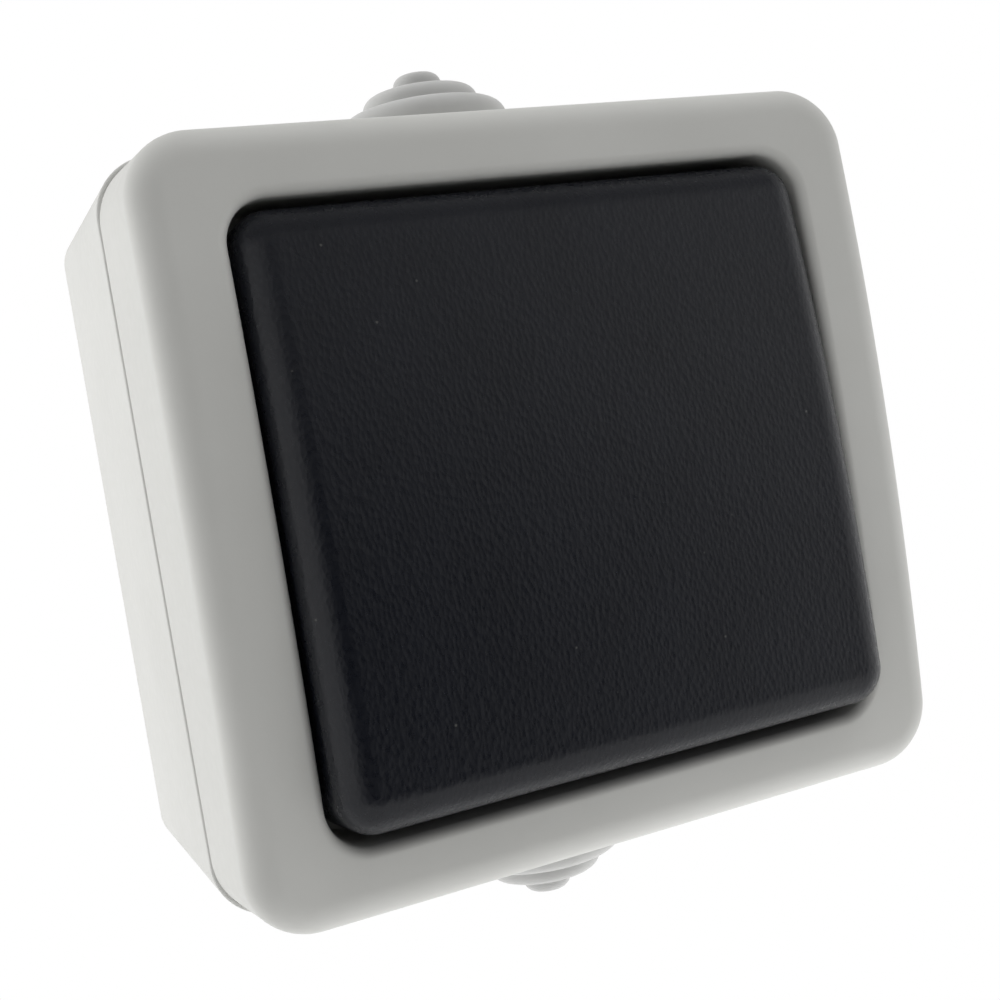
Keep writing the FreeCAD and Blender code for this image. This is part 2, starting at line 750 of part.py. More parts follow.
def fixed_tip_front():
    """Front of the fixed tip: just behind the deepest point of the moving tip in the closed position."""
    angle = math.radians(arm_tilt)
    forward = arm_lift - tip_thickness
    outer_edge = contact_height + tip_radius
    return pin_depth + forward * math.cos(angle) - outer_edge * math.sin(angle) - contact_clearance


def make_fixed_contact_tip():
    return rod_out(tip_radius, 0.0, contact_height, strip_front, fixed_tip_front())


def terminal_body(x):
    """Brass clamping block with a wire hole and a screw hole."""
    z_from = terminal_z - terminal_half_height
    z_to = terminal_z + terminal_half_height
    front = strip_front + terminal_block
    body = block(x - terminal_half_width, x + terminal_half_width, base_floor_front, front, z_from, z_to)
    start = point(x, wire_depth(), z_from - OVERRUN)
    reach = z_to - z_from + 2 * OVERRUN
    body = body.cut(Part.makeCylinder(wire_radius, reach, start, FreeCAD.Vector(0, 0, 1)))
    hole = terminal_screw_radius + terminal_screw_clearance
    return body.cut(rod_out(hole, x, terminal_z, wire_depth(), front_depth))


def make_common_terminal():
    """Brass terminal with a strip to the middle and two ears that hold the contact pin."""
    ear_from = arm_half_width + arm_side_gap
    ear_to = ear_from + pin_ear_thickness
    strip_outer = -terminal_x + terminal_half_width
    half_strip = strip_width / 2
    parts = [terminal_body(-terminal_x)]
    parts.append(block(strip_outer - strip_width, strip_outer, base_floor_front, strip_front,
                       -half_strip, terminal_z))
    parts.append(block(strip_outer - strip_width, ear_to, base_floor_front, strip_front,
                       -half_strip, half_strip))
    ear_half = pin_radius + pin_ear_wall
    for x_from in (-ear_to, ear_from):
        x_to = x_from + pin_ear_thickness
        parts.append(block(x_from, x_to, base_floor_front, pin_depth, -ear_half, ear_half))
        parts.append(rod_across(ear_half, x_from, x_to, pin_depth))
    return joined(parts).cut(rod_across(pin_radius, -half_width, half_width, pin_depth))


def make_contact_pin():
    reach = arm_half_width + arm_side_gap + pin_ear_thickness
    return rod_across(pin_radius, -reach, reach, pin_depth)


def make_switched_terminal():
    """Brass terminal with a strip that runs down to the contact height and in to the fixed tip."""
    half_strip = strip_width / 2
    strip_foot = contact_height - half_strip
    down = block(terminal_x - strip_width, terminal_x, base_floor_front, strip_front, strip_foot, terminal_z)
    across = block(-half_strip, terminal_x, base_floor_front, strip_front,
                   strip_foot, contact_height + half_strip)
    return joined([terminal_body(terminal_x), down, across])


def make_terminal_screws():
    """Slotted clamping screws that press on the wires."""
    seat = strip_front + terminal_block
    top = seat + terminal_head_height
    screws = []
    for x in (-terminal_x, terminal_x):
        screw = rod_out(terminal_screw_radius, x, terminal_z, wire_depth(), seat + terminal_head_height / 2)
        screw = screw.fuse(rod_out(terminal_head_radius, x, terminal_z, seat, top)).removeSplitter()
        half_slot = slot_width / 2
        slot = block(x - terminal_head_radius, x + terminal_head_radius, top - slot_depth, top + OVERRUN,
                     terminal_z - half_slot, terminal_z + half_slot)
        screws.append(screw.cut(slot))
    return Part.makeCompound(screws)


pieces = {
    "back_box": make_back_box(),
    "box_gasket": make_box_gasket(),
    "front_cover": make_front_cover(),
    "cover_screws": make_cover_screws(),
    "top_cable_grommet": make_grommet(1),
    "bottom_cable_grommet": make_grommet(-1),
    "rocker": make_rocker(),
    "rocker_seal": make_rocker_seal(),
    "cradle": make_cradle(),
    "plunger": make_plunger(),
    "plunger_spring": make_plunger_spring(),
    "mechanism_base": make_mechanism_base(),
    "mechanism_frame": make_mechanism_frame(),
    "mounting_strap": make_mounting_strap(),
    "strap_screws": make_strap_screws(),
    "base_rivets": make_base_rivets(),
    "contact_arm": make_contact_arm(),
    "moving_contact_tip": make_moving_contact_tip(),
    "contact_pin": make_contact_pin(),
    "common_terminal": make_common_terminal(),
    "switched_terminal": make_switched_terminal(),
    "fixed_contact_tip": make_fixed_contact_tip(),
    "terminal_screws": make_terminal_screws(),
}

os.makedirs("parts", exist_ok=True)
for name, shape in pieces.items():
    shape.exportStep("parts/" + name + ".step")
    solids = len(shape.Solids)
    print(name, "valid" if shape.isValid() else "BAD", solids, "solids", round(shape.Volume, 1), "mm3")
print("trunnion axis depth", round(pivot_depth, 3), "plunger tip", round(tip_centre, 3))
hole_spacing = 2 * wall_hole_places()[1][1]
print("contact pin depth", round(pin_depth, 3), "wall holes apart", round(hole_spacing, 3))
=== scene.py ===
# %% [markdown]
# A weatherproof rocker switch
#
# The construction model holds every piece at its real size. This lesson dresses it: the parts that show are
# made again as fine, smooth surfaces, and every part gets a finish worked out from noise and cell patterns.
# Each surface takes its place from the boxes and joints of the construction model. The sizes that a box
# can't tell, such as rounds and walls, are written here again.

# %% Load the construction model
import json
import math

import bmesh
import bpy
import numpy as np
from mathutils import Matrix, Vector


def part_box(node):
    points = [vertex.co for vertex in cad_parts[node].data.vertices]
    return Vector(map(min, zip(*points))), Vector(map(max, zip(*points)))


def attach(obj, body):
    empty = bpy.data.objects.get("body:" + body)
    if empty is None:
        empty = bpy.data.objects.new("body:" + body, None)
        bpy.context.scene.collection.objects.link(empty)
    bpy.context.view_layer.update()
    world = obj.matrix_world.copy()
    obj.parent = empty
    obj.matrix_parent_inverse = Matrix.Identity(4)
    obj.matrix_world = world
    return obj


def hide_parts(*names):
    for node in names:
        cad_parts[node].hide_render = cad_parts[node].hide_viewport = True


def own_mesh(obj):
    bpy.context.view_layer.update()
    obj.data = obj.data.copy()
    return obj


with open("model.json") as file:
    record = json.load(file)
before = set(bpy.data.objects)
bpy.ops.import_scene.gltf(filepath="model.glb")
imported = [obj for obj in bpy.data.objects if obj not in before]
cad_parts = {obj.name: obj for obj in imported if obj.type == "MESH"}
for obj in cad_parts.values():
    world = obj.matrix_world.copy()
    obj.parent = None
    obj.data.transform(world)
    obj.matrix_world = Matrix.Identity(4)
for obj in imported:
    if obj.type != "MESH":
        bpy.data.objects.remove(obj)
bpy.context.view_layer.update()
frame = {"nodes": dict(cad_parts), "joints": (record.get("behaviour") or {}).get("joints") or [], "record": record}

MM = 0.001
nodes = frame["nodes"]
joints = {joint["name"]: joint for joint in frame["joints"]}


def box_mm(node):
    """Lowest and highest corner of a construction node, in millimetres."""
    low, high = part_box(node)
    return np.array(low) / MM, np.array(high) / MM


print("construction nodes:", len(nodes), "joints:", sorted(joints))

# %% [markdown]
# Grids and outlines
#
# Most mouldings are families of rounded rectangles. One outline is written as P = (half - r) c + r n, where
# c walks between the corner centres of a unit square and n is the direction from a corner's centre to the
# skin. Because c and n never change, a whole moulding is a table of stations, each with its half width,
# half height, corner radius and depth. Drawing each outline as a curve and bridging them would do as well,
# but a table of arrays is exact and quick.

# %% Outline of a rounded rectangle
CORNER_SIGNS = np.array([[1, 1], [-1, 1], [-1, -1], [1, -1]], float)


def outline_frame(corner_steps, side_steps):
    """Corner centres c and directions n of a rounded rectangle, walked once round without the last point.

    On a corner c stays and n turns a quarter; along a side n stays and c slides to the next corner."""
    centres = []
    directions = []
    share = np.linspace(0, 1, side_steps + 1)[1:-1, None]
    for turn in range(4):
        angle = np.linspace(0, np.pi / 2, corner_steps + 1) + turn * np.pi / 2
        arc = np.stack([np.cos(angle), np.sin(angle)], 1)
        here = CORNER_SIGNS[turn]
        following = CORNER_SIGNS[(turn + 1) % 4]
        centres += [np.tile(here, (len(arc), 1)), here * (1 - share) + following * share]
        directions += [arc, np.tile(arc[-1], (len(share), 1))]
    return np.concatenate(centres), np.concatenate(directions)


moulding_frame = outline_frame(corner_steps=24, side_steps=48)
small_frame = outline_frame(corner_steps=8, side_steps=2)
print("outline columns:", len(moulding_frame[0]), "and", len(small_frame[0]), "for small pieces")

# %% Stations and the surfaces between them
SUPPORT = np.array([0.02, 0.06, 0.5, 0.94, 0.98])   # extra rows near both ends keep flat faces flat
CORNER_COLUMN = 2                                   # where a station holds its corner radius
DEPTH_COLUMN = 3                                    # and its depth


def station(half, corner, depth, follow=0.0):
    """One outline: half width and height, corner radius, depth, and how far it follows the crown."""
    return np.array([half[0], half[1], corner, depth, follow])


def straight(start, end, steps=0):
    """Stations on the straight line from start to end: evenly spaced, or close together near the ends."""
    share = np.linspace(0, 1, steps + 1) if steps else np.concatenate([[0], SUPPORT, [1]])
    return start + (end - start) * share[:, None]


def chain(*bands):
    """Bands of stations end to end. Each later band starts where the last one ends: its first row goes."""
    return np.concatenate([bands[0]] + [band[1:] for band in bands[1:]])


def flat_front(z):
    """A front without a crown: it curves back by nothing at any height."""
    return np.zeros_like(z)


def ring_points(rows, front, centres, directions):
    """Points of a moulding: x, z = (half - r) c + r n, and y = follow * front(z) - depth."""
    half_w, half_h, corner, depth, follow = (column[:, None] for column in rows.T)
    x = (half_w - corner) * centres[:, 0] + corner * directions[:, 0]
    z = (half_h - corner) * centres[:, 1] + corner * directions[:, 1]
    return np.stack([x, follow * front(z) - depth, z], -1)


def grid_quads(rows, columns, close_rows=False, close_columns=False):
    """Quads between neighbouring points of a grid that is numbered row by row."""
    row = np.arange(rows if close_rows else rows - 1)[:, None]
    column = np.arange(columns if close_columns else columns - 1)[None, :]
    next_row = (row + 1) % rows
    next_column = (column + 1) % columns
    corners = [row * columns + column, row * columns + next_column,
               next_row * columns + next_column, next_row * columns + column]
    return np.stack(np.broadcast_arrays(*corners), -1).reshape(-1, 4)


# %% [markdown]
# Finishes
#
# Every finish starts from one shader with its plain values set on the sockets, and then noise in Object
# coordinates varies the colour and the gloss and lifts a fine bump. Images would need files and would
# stretch, so the patterns are worked out in space, at the size that they have on the real surface. Scales
# are per metre: a scale of 1000 has features of about a millimetre.

# %% Nodes, noise and bumps
NOISE_LOW = 0.3         # noise seldom leaves the range between these two
NOISE_HIGH = 0.7


def add_node(tree, kind, **values):
    """A shader node with its named inputs, and its settings, filled in."""
    node = tree.nodes.new(kind)
    for key, value in values.items():
        if key in node.inputs:
            node.inputs[key].default_value = value
        else:
            setattr(node, key, value)
    return node


def new_finish(name, metallic=0.0, specular=0.5, sheen=0.0):
    """An empty finish with its plain values on the shader, and Object coordinates to draw patterns with."""
    material = bpy.data.materials.new(name)
    material.use_nodes = True
    tree = material.node_tree
    shader = tree.nodes["Principled BSDF"]
    shader.inputs["Metallic"].default_value = metallic
    shader.inputs["Specular IOR Level"].default_value = specular
    shader.inputs["Sheen Weight"].default_value = sheen
    coordinates = add_node(tree, "ShaderNodeTexCoord")
    return material, tree, shader, coordinates.outputs["Object"]


def noise(tree, place, scale, detail=3.0):
    """Noise of the given scale per metre, from 0 to 1."""
    node = add_node(tree, "ShaderNodeTexNoise", Scale=scale, Detail=detail)
    tree.links.new(place, node.inputs["Vector"])
    return node.outputs["Fac"]


def cells(tree, place, scale):
    """Distance to the nearest point of a scattered cell pattern of the given scale per metre."""
    node = add_node(tree, "ShaderNodeTexVoronoi", Scale=scale, feature="F1")
    tree.links.new(place, node.inputs["Vector"])
    return node.outputs["Distance"]


def spread(tree, value, low, high, from_low=NOISE_LOW, from_high=NOISE_HIGH):
    """The value stretched from one range to another, and held at the ends."""
    node = add_node(tree, "ShaderNodeMapRange")
    node.inputs["From Min"].default_value = from_low
    node.inputs["From Max"].default_value = from_high
    node.inputs["To Min"].default_value = low
    node.inputs["To Max"].default_value = high
    tree.links.new(value, node.inputs["Value"])
    return node.outputs["Result"]


def tint(tree, value, dark, light):
    """Colour between two tones, driven by a noise."""
    ramp = add_node(tree, "ShaderNodeValToRGB")
    ends = ramp.color_ramp.elements
    for end, position, tone in ((ends[0], NOISE_LOW, dark), (ends[1], NOISE_HIGH, light)):
        end.position = position
        end.color = (*tone, 1)
    tree.links.new(value, ramp.inputs["Fac"])
    return ramp.outputs["Color"]


def bump(tree, shader, *heights):
    """Stack bumps on the shader; each is (value, strength, height in metres)."""
    previous = None
    for value, strength, distance in heights:
        node = add_node(tree, "ShaderNodeBump", Strength=strength, Distance=distance)
        tree.links.new(value, node.inputs["Height"])
        if previous:
            tree.links.new(previous, node.inputs["Normal"])
        previous = node.outputs["Normal"]
    tree.links.new(previous, shader.inputs["Normal"])


# %% [markdown]
# The grey housing is a satin moulded plastic. Its colour is almost even, with a very faint cloud, and its
# skin has the fine spark texture of the mould, which softens the light on the rounded edges.

# %% Housing plastic


def housing_plastic():
    """Satin grey: a faint cloud in the colour, an uneven gloss and the mould's texture as bump."""
    material, tree, shader, place = new_finish("housing_grey_plastic", specular=0.35)
    grey = tint(tree, noise(tree, place, scale=45.0), (0.60, 0.60, 0.575), (0.64, 0.64, 0.615))
    gloss = spread(tree, noise(tree, place, scale=900.0), 0.42, 0.54)
    spark = noise(tree, place, scale=2600.0, detail=2.0)
    tree.links.new(grey, shader.inputs["Base Color"])
    tree.links.new(gloss, shader.inputs["Roughness"])
    bump(tree, shader, (spark, 0.25, 0.02 * MM))
    return material


# %% [markdown]
# The rocker is black plastic with a pebbled leather grain. The larger pebbles are in the mesh itself; the
# finish adds the finest creases, drawn out a little along the height, a gloss that changes from place to
# place, and a few specks of dust.

# %% Rocker plastic
GRAIN_DRAWN = (1.0, 1.0, 0.55)      # a smaller share along Z draws the creases out that way
DUST_COLOUR = (0.10, 0.10, 0.095, 1)
DUST_COVER = 0.7
DUST_CORE = 0.020                   # a speck is full up to here and ends at the rim, in cells
DUST_RIM = 0.045
MIX_FACTOR, MIX_A, MIX_B = 0, 6, 7  # colour inputs of the Mix node, which has a set for each data type
MIX_RESULT = 2


def dusted(tree, place, colour):
    """The colour with a few pale specks, each a small disc round a point of a wide cell pattern."""
    speck = spread(tree, cells(tree, place, scale=260.0), DUST_COVER, 0.0, DUST_CORE, DUST_RIM)
    mix = add_node(tree, "ShaderNodeMix", data_type="RGBA")
    mix.inputs[MIX_B].default_value = DUST_COLOUR
    tree.links.new(speck, mix.inputs[MIX_FACTOR])
    tree.links.new(colour, mix.inputs[MIX_A])
    return mix.outputs[MIX_RESULT]


def rocker_plastic():
    """Blue-black with dust: a faint cloud in the colour, an uneven gloss, and cells and noise as bump."""
    material, tree, shader, place = new_finish("rocker_black_plastic", specular=0.34)
    cloud = noise(tree, place, scale=120.0)
    black = tint(tree, cloud, (0.0035, 0.0044, 0.0080), (0.0054, 0.0065, 0.0108))
    gloss = spread(tree, noise(tree, place, scale=1400.0), 0.24, 0.36)
    drawn = add_node(tree, "ShaderNodeMapping", Scale=GRAIN_DRAWN)
    tree.links.new(place, drawn.inputs["Vector"])
    creases = cells(tree, drawn.outputs["Vector"], scale=2300.0)
    fine = noise(tree, drawn.outputs["Vector"], scale=3200.0, detail=2.0)
    tree.links.new(dusted(tree, place, black), shader.inputs["Base Color"])
    tree.links.new(gloss, shader.inputs["Roughness"])
    bump(tree, shader, (creases, 0.65, 0.04 * MM), (fine, 0.40, 0.02 * MM))
    return material


# %% [markdown]
# The cable grommets are soft grey rubber: duller than the housing, a shade darker, with a powdery skin.

# %% Grommet rubber


def grommet_rubber():
    """Dull grey with a faint sheen: a cloud in the colour, a high roughness and a fine bump."""
    material, tree, shader, place = new_finish("grommet_grey_rubber", specular=0.25, sheen=0.1)
    grey = tint(tree, noise(tree, place, scale=160.0), (0.52, 0.52, 0.51), (0.58, 0.58, 0.57))
    gloss = spread(tree, noise(tree, place, scale=1100.0), 0.62, 0.78)
    powder = noise(tree, place, scale=2200.0)
    tree.links.new(grey, shader.inputs["Base Color"])
    tree.links.new(gloss, shader.inputs["Roughness"])
    bump(tree, shader, (powder, 0.3, 0.02 * MM))
    return material


# %% [markdown]
# Inside are black seals, white and cream mouldings, zinc-plated steel, brass and silver. They are small and
# mostly hidden, so one function makes them all from two tones, a range of roughness and how metallic it is.

# %% Inner finishes
INNER_FINISHES = {
    "seal_rubber": ("black_seal_rubber", (0.016, 0.016, 0.017), (0.024, 0.024, 0.026), (0.6, 0.8), 0.0),
    "cradle_white": ("white_moulded_plastic", (0.70, 0.69, 0.65), (0.76, 0.75, 0.71), (0.35, 0.5), 0.0),
    "insulator_cream": ("cream_thermoset", (0.62, 0.57, 0.45), (0.70, 0.66, 0.55), (0.35, 0.55), 0.0),
    "plated_steel": ("zinc_plated_steel", (0.52, 0.53, 0.55), (0.64, 0.64, 0.64), (0.25, 0.42), 1.0),
    "contact_brass": ("bright_brass", (0.66, 0.44, 0.16), (0.76, 0.55, 0.24), (0.2, 0.36), 1.0),
    "contact_silver": ("silver_contact", (0.76, 0.75, 0.72), (0.86, 0.85, 0.82), (0.2, 0.34), 1.0),
}


def inner_finish(name, dark, light, rough, metallic):
    """Cloudy colour, uneven gloss and a fine bump: enough for small inner parts."""
    material, tree, shader, place = new_finish(name, metallic)
    colour = tint(tree, noise(tree, place, scale=75.0), dark, light)
    gloss = spread(tree, noise(tree, place, scale=300.0), *rough)
    grain = noise(tree, place, scale=900.0, detail=4.0)
    tree.links.new(colour, shader.inputs["Base Color"])
    tree.links.new(gloss, shader.inputs["Roughness"])
    bump(tree, shader, (grain, 0.3, 0.01 * MM))
    return material


finishes = {slot: inner_finish(*values) for slot, values in INNER_FINISHES.items()}
finishes["housing_grey"] = housing_plastic()
finishes["rocker_black"] = rocker_plastic()
finishes["grommet_rubber"] = grommet_rubber()
for subpart in frame["record"]["subparts"]:
    node_mesh = nodes[subpart["node"]].data
    node_mesh.materials.clear()
    node_mesh.materials.append(finishes[subpart["material_slot"]])
print("finishes:", len(finishes), "on", len(nodes), "construction nodes")

# %% [markdown]
# From arrays to pieces
#
# A surface becomes a piece in one way: its arrays go into a mesh as they are, points that coincide are
# welded, and the piece rides on a body and stands for a construction node. Adding vertices one at a time
# gives the same mesh, but slowly. A face's outer side shows in the order of its corners, so each closed
# shell is first turned to face outwards.

# %% Shells and meshes
WELD_DISTANCE = 1e-7


def merged(*shells):
    """Several (points, quads) shells as one, with the later quads renumbered."""
    points = []
    quads = []
    count = 0
    for shell_points, shell_quads in shells:
        points.append(shell_points)
        quads.append(shell_quads + count)
        count += len(shell_points)
    return np.concatenate(points), np.concatenate(quads)


def outwards(points, quads):
    """The closed shell with its faces outwards: the signed volume of the fans from the origin decides."""
    flat = points.reshape(-1, 3)
    a, b, c, d = (flat[quads[:, i]] for i in range(4))
    volume = np.sum(a * np.cross(b, c)) + np.sum(a * np.cross(c, d))
    return flat, quads if volume > 0 else quads[:, ::-1]


def weld(mesh):
    """Merge the points that coincide, so that poles and seams are closed, and count the open edges left."""
    shell = bmesh.new()
    shell.from_mesh(mesh)
    bmesh.ops.remove_doubles(shell, verts=shell.verts, dist=WELD_DISTANCE)
    open_edges = sum(1 for edge in shell.edges if not edge.is_contiguous)
    shell.to_mesh(mesh)
    shell.free()
    return open_edges


def mesh_piece(name, points, quads, body, slot, node):
    """Put points (millimetres) and quads into a smooth welded mesh that rides on a body, for a node."""
    mesh = bpy.data.meshes.new(name)
    mesh.vertices.add(len(points))
    mesh.vertices.foreach_set("co", (points * MM).astype(np.float32).ravel())
    mesh.loops.add(quads.size)
    mesh.loops.foreach_set("vertex_index", quads.astype(np.int32).ravel())
    mesh.polygons.add(len(quads))
    mesh.polygons.foreach_set("loop_start", np.arange(0, quads.size, quads.shape[1], dtype=np.int32))
    mesh.polygons.foreach_set("use_smooth", np.ones(len(quads), bool))
    mesh.update(calc_edges=True)
    mesh.validate()
    open_edges = weld(mesh)
    mesh.materials.append(finishes[slot])
    piece = bpy.data.objects.new(name, mesh)
    bpy.context.scene.collection.objects.link(piece)
    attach(piece, body)
    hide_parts(node)
    size = (points.max(0) - points.min(0)).round(2)
    print(name, "has", len(mesh.polygons), "faces,", open_edges, "open edges and measures", size, "mm")
    return piece


# %% [markdown]
# The front cover
#
# The cover is one moulding: a drafted skirt, a generous round into the crowned face, a smaller round into
# the opening, and a well behind it that keeps water out. The crown is an arc over the height. The whole
# section is a closed chain of stations, so the cover has a true thickness, and each round is a quarter turn
# of rows.

# %% Sizes of the cover, in millimetres
cover_low, cover_high = box_mm("front_cover")
seam_half = cover_high[[0, 2]]
seam_depth = -cover_high[1]
crown_depth = -cover_low[1]
cover_draft = 0.31
crown_rise = 1.8
cover_corner = 6.9
cover_edge_round = 3.4
cover_wall = 2.6
lip_round = 0.35
border = np.array([8.2, 7.4])
opening_corner = 4.5
opening_round = 1.1
well_wall = 1.8
well_floor = (41.2, 42.8)
seal_hole = 7.06
gasket_low, gasket_high = box_mm("box_gasket")
gasket_fit = 0.05
gasket_width = 0.9

front_half = seam_half - cover_draft
opening_half = front_half - border
crown_radius = (front_half[1] ** 2 + crown_rise ** 2) / (2 * crown_rise)
print("opening", 2 * opening_half.round(2), "mm, crown radius", crown_radius.round(1), "mm")

# %% Crown and rounds
QUARTER = np.linspace(0, np.pi / 2, 17)


def crown(z):
    """How far the front curves back at height z: R - sqrt(R^2 - z^2)."""
    return crown_radius - np.sqrt(crown_radius ** 2 - z ** 2)


def outer_round(half, corner, radius, depth, follow):
    """Quarter turn from a side to a front face: inset r (1 - cos a), drop r (1 - sin a)."""
    inset = radius * (1 - np.cos(QUARTER))
    drop = radius * (1 - np.sin(QUARTER))
    followed = np.full_like(QUARTER, follow)
    return np.stack([half[0] - inset, half[1] - inset, corner - inset, depth - drop, followed], 1)


def inner_round(half, corner, radius, depth, follow):
    """Quarter turn from a front face down into an opening: outset r (1 - sin a), drop r (1 - cos a)."""
    outset = radius * (1 - np.sin(QUARTER))
    drop = radius * (1 - np.cos(QUARTER))
    followed = np.full_like(QUARTER, follow)
    return np.stack([half[0] + outset, half[1] + outset, corner + outset, depth - drop, followed], 1)


# %% Shell of the cover
FACE_ROWS = 16


def cover_shell():
    """Closed section of the cover, carried round: skirt, face, well wall and floor, and back inside."""
    lip = outer_round(seam_half, cover_corner, lip_round, 0.0, 0.0)[::-1]
    lip[:, DEPTH_COLUMN] = seam_depth - lip[:, DEPTH_COLUMN]
    edge = outer_round(front_half, cover_corner, cover_edge_round, crown_depth, 1.0)
    rim = inner_round(opening_half, opening_corner, opening_round, crown_depth, 1.0)
    floor_out = station(opening_half, opening_corner, well_floor[1])
    hole = np.array([seal_hole, seal_hole])
    hole_front = station(hole, seal_hole, well_floor[1])
    hole_back = station(hole, seal_hole, well_floor[0])
    well_half = opening_half + well_wall
    well_corner = opening_corner + well_wall
    floor_back = station(well_half, well_corner, well_floor[0])
    well_top = station(well_half, well_corner, crown_depth - cover_wall, 1.0)
    inner_half = front_half - cover_wall
    inner_corner = cover_corner - cover_wall
    ceiling = station(inner_half, inner_corner, crown_depth - cover_wall, 1.0)
    rebate_depth = -gasket_low[1]
    rebate_half = gasket_high[[0, 2]] + gasket_fit
    rebate_corner = inner_corner + gasket_width
    rebate_in = station(seam_half - cover_wall, inner_corner, rebate_depth)
    rebate_out = station(rebate_half, rebate_corner, rebate_depth)
    rebate_seam = station(rebate_half, rebate_corner, seam_depth)
    rows = chain(
        lip,
        straight(lip[-1], edge[0]),
        edge,
        straight(edge[-1], rim[0], FACE_ROWS),
        rim,
        straight(rim[-1], floor_out),
        straight(floor_out, hole_front),
        straight(hole_front, hole_back),
        straight(hole_back, floor_back),
        straight(floor_back, well_top),
        straight(well_top, ceiling),
        straight(ceiling, rebate_in),
        straight(rebate_in, rebate_out),
        straight(rebate_out, rebate_seam),
        straight(rebate_seam, lip[0])[:-1],
    )
    points = ring_points(rows, crown, *moulding_frame)
    return outwards(points, grid_quads(*points.shape[:2], close_rows=True, close_columns=True))


# %% [markdown]
# Behind the well floor four tubes take the cover's screws, and in front of it two ears carry the rocker's
# trunnions. A boolean union would fuse them to the cover. They are closed shells of their own instead, sunk
# a little into the floor, because that keeps every surface clean.

# %% Screw tubes and bearing ears
TINY = 1e-9                 # keeps a division away from nothing
SINK = 0.2                  # how far tubes and ears reach into the well floor
EAR_STEPS = 65
FOOT_STEPS = 9
screw_inset = 6.1
boss_radius = 3.5
boss_hole = 1.75
ear_span = (11.3, 14.3)
ear_radius = 2.6
ear_bore = 1.55
rocker_joint = joints["rocker_tilt"]
pivot = np.array(rocker_joint["pos_m"]) / MM
pivot_depth = -pivot[1]


def tube(place, outer, inner, depth_from, depth_to):
    """Closed round tube, standing out from the wall: four circles joined in a ring."""
    section = [(outer, depth_from), (outer, depth_to), (inner, depth_to), (inner, depth_from)]
    rows = np.stack([station((radius, radius), radius, depth) for radius, depth in section])
    points = ring_points(rows, flat_front, *small_frame) + np.array([place[0], 0.0, place[1]])
    return outwards(points, grid_quads(*points.shape[:2], close_rows=True, close_columns=True))


def bearing_ear(x_from, x_to):
    """Ear with a round end and a bore: two loops about the trunnion axis, at both faces, joined in a ring.

    In direction a the outer loop is at the ear's radius in front, and behind at the nearer of its two
    straight sides, radius / |sin a|, and its foot, stand / |cos a|."""
    stand = pivot_depth - well_floor[1] + SINK
    corner = math.atan2(ear_radius, -stand)
    upper = np.linspace(-corner, corner, EAR_STEPS)
    foot_edge = np.linspace(corner, 2 * np.pi - corner, FOOT_STEPS)[1:-1]
    angle = np.concatenate([upper, foot_edge])
    side = ear_radius / np.maximum(np.abs(np.sin(angle)), TINY)
    foot = stand / np.maximum(np.abs(np.cos(angle)), TINY)
    reach = np.where(np.cos(angle) >= 0, ear_radius, np.minimum(side, foot))
    loops = [(reach, x_from), (reach, x_to), (ear_bore, x_to), (ear_bore, x_from)]
    points = np.stack([np.stack([np.full_like(angle, x), -pivot_depth - radius * np.cos(angle),
                                 radius * np.sin(angle)], -1) for radius, x in loops])
    return outwards(points, grid_quads(*points.shape[:2], close_rows=True, close_columns=True))


screw_reach = opening_half - screw_inset
boss_depths = (seam_depth, well_floor[0] + SINK)
bosses = [tube(sign * screw_reach, boss_radius, boss_hole, *boss_depths) for sign in CORNER_SIGNS]
ears = [bearing_ear(*span) for span in ((-ear_span[1], -ear_span[0]), ear_span)]
cover_points, cover_quads = merged(cover_shell(), *bosses, *ears)
mesh_piece("front_cover_shell", cover_points, cover_quads, "housing", "housing_grey", "front_cover")

# %% [markdown]
# The rocker
#
# The rocker is a crowned cap with a soft round all the way along its edge, resting with its top pressed in.
# Its face is a square grid pulled into a rounded rectangle, so that the pebbled grain can be real relief. A
# displacement modifier could lift it too, but here the grain is one more term in the formula.

# %% Sizes of the rocker, in millimetres
rest_tilt = -math.radians(rocker_joint["range_deg"][1]) / 2
rocker_gap = np.array([0.5, 1.2])
rocker_half = opening_half - rocker_gap
rocker_corner = 3.9
rocker_edge_round = 3.6
rocker_proud = 2.8
rocker_wall = 1.8
skirt_depth = 46.05
rocker_crown_depth = crown_depth + rocker_proud
under_depth = rocker_crown_depth - rocker_wall
rocker_edge = outer_round(rocker_half, rocker_corner, rocker_edge_round, rocker_crown_depth, 1.0)
print("rocker", 2 * rocker_half.round(2), "mm, tilted at rest by", round(math.degrees(rest_tilt), 2))

# %% Pebbled grain
GRAIN_CELL = 0.85
GRAIN_HEIGHT = 0.010
CREASE_WIDTH = 0.45                 # in cells
FAR = 9.0                           # in cells, further than any lattice point that is tried
LATTICE_WAVES = (127.1, 311.7)      # large odd waves, so that neighbouring cells have nothing in common
LATTICE_SCALE = 43758.5453
SALT_ACROSS = 1.7
SALT_UP = 5.3


def lattice_random(i, j, salt):
    """A number from 0 to 1 for each lattice cell: the fraction of a large sine."""
    value = np.sin(i * LATTICE_WAVES[0] + j * LATTICE_WAVES[1] + salt) * LATTICE_SCALE
    return value - np.floor(value)


